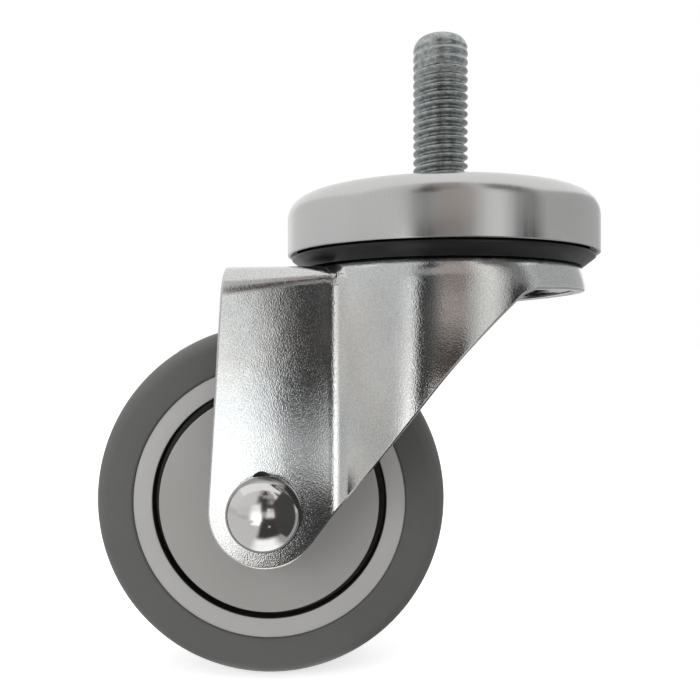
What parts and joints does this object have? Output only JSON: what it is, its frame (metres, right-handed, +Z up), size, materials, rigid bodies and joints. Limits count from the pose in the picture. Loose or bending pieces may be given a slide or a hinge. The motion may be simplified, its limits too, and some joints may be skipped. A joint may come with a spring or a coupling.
{
  "type": "swivel castor",
  "caption": "swivel castor with a threaded stem, a round cup over a double ball race, a one-piece pressed fork and a soft grey wheel on a ball bearing",
  "frame": {"origin": "on the swivel axis at the flat top of the cup, where the castor seats", "axes": "+Z up the threaded stem, the wheel trails towards -X, the axle lies along Y"},
  "size_m": [0.1107, 0.0694, 0.1413],
  "materials": {
    "satin_steel": "zinc plated steel, finely brushed",
    "plated_stem": "dull zinc plated steel, rolled thread",
    "hardened_steel": "hardened steel",
    "ball_steel": "polished steel balls",
    "bright_zinc": "bright zinc plated pressed steel",
    "black_seal": "black moulded seal",
    "core_plastic": "light grey moulded core",
    "grey_tread": "soft dark grey non-marking tread",
    "bearing_steel": "turned steel",
    "shield_steel": "thin pressed steel",
    "guard_plastic": "mid grey moulded plastic",
    "polished_head": "bright polished domed head",
    "nut_zinc": "zinc plated steel",
    "insert_nylon": "nylon locking ring"
  },
  "bodies": {
    "stem_and_cup": {"threaded_stem": "plated_stem", "top_cup": "satin_steel", "lower_race": "hardened_steel"},
    "swivel_fork": {"fork": "bright_zinc", "dust_seal": "black_seal", "axle_bolt": "polished_head", "axle_nut": "nut_zinc", "nut_insert": "insert_nylon", "axle_sleeve": "bearing_steel", "near_thread_guard": "guard_plastic", "far_thread_guard": "guard_plastic", "bearing_inner_ring": "bearing_steel"},
    "wheel": {"wheel_core": "core_plastic", "tyre": "grey_tread", "bearing_outer_ring": "bearing_steel", "near_bearing_shield": "shield_steel", "far_bearing_shield": "shield_steel"},
    "swivel_balls": {"upper_balls": "ball_steel", "lower_balls": "ball_steel"},
    "wheel_ball_set": {"bearing_balls": "ball_steel"}
  },
  "joints": [
    {"name": "swivel", "type": "hinge", "parent": "stem_and_cup", "child": "swivel_fork", "pos_m": [0, 0, 0], "axis": [0, 0, 1], "continuous": true},
    {"name": "wheel_spin", "type": "hinge", "parent": "swivel_fork", "child": "wheel", "pos_m": [-0.038, 0, -0.0662], "axis": [0, 1, 0], "continuous": true},
    {"name": "swivel_ball_roll", "type": "hinge", "parent": "stem_and_cup", "child": "swivel_balls", "pos_m": [0, 0, 0], "axis": [0, 0, 1], "continuous": true},
    {"name": "bearing_ball_roll", "type": "hinge", "parent": "swivel_fork", "child": "wheel_ball_set", "pos_m": [-0.038, 0, -0.0662], "axis": [0, 1, 0], "continuous": true}
  ],
  "couplings": [
    {"joint": "swivel_ball_roll", "follows": "swivel", "ratio": 0.5},
    {"joint": "bearing_ball_roll", "follows": "wheel_spin", "ratio": 0.62}
  ]
}
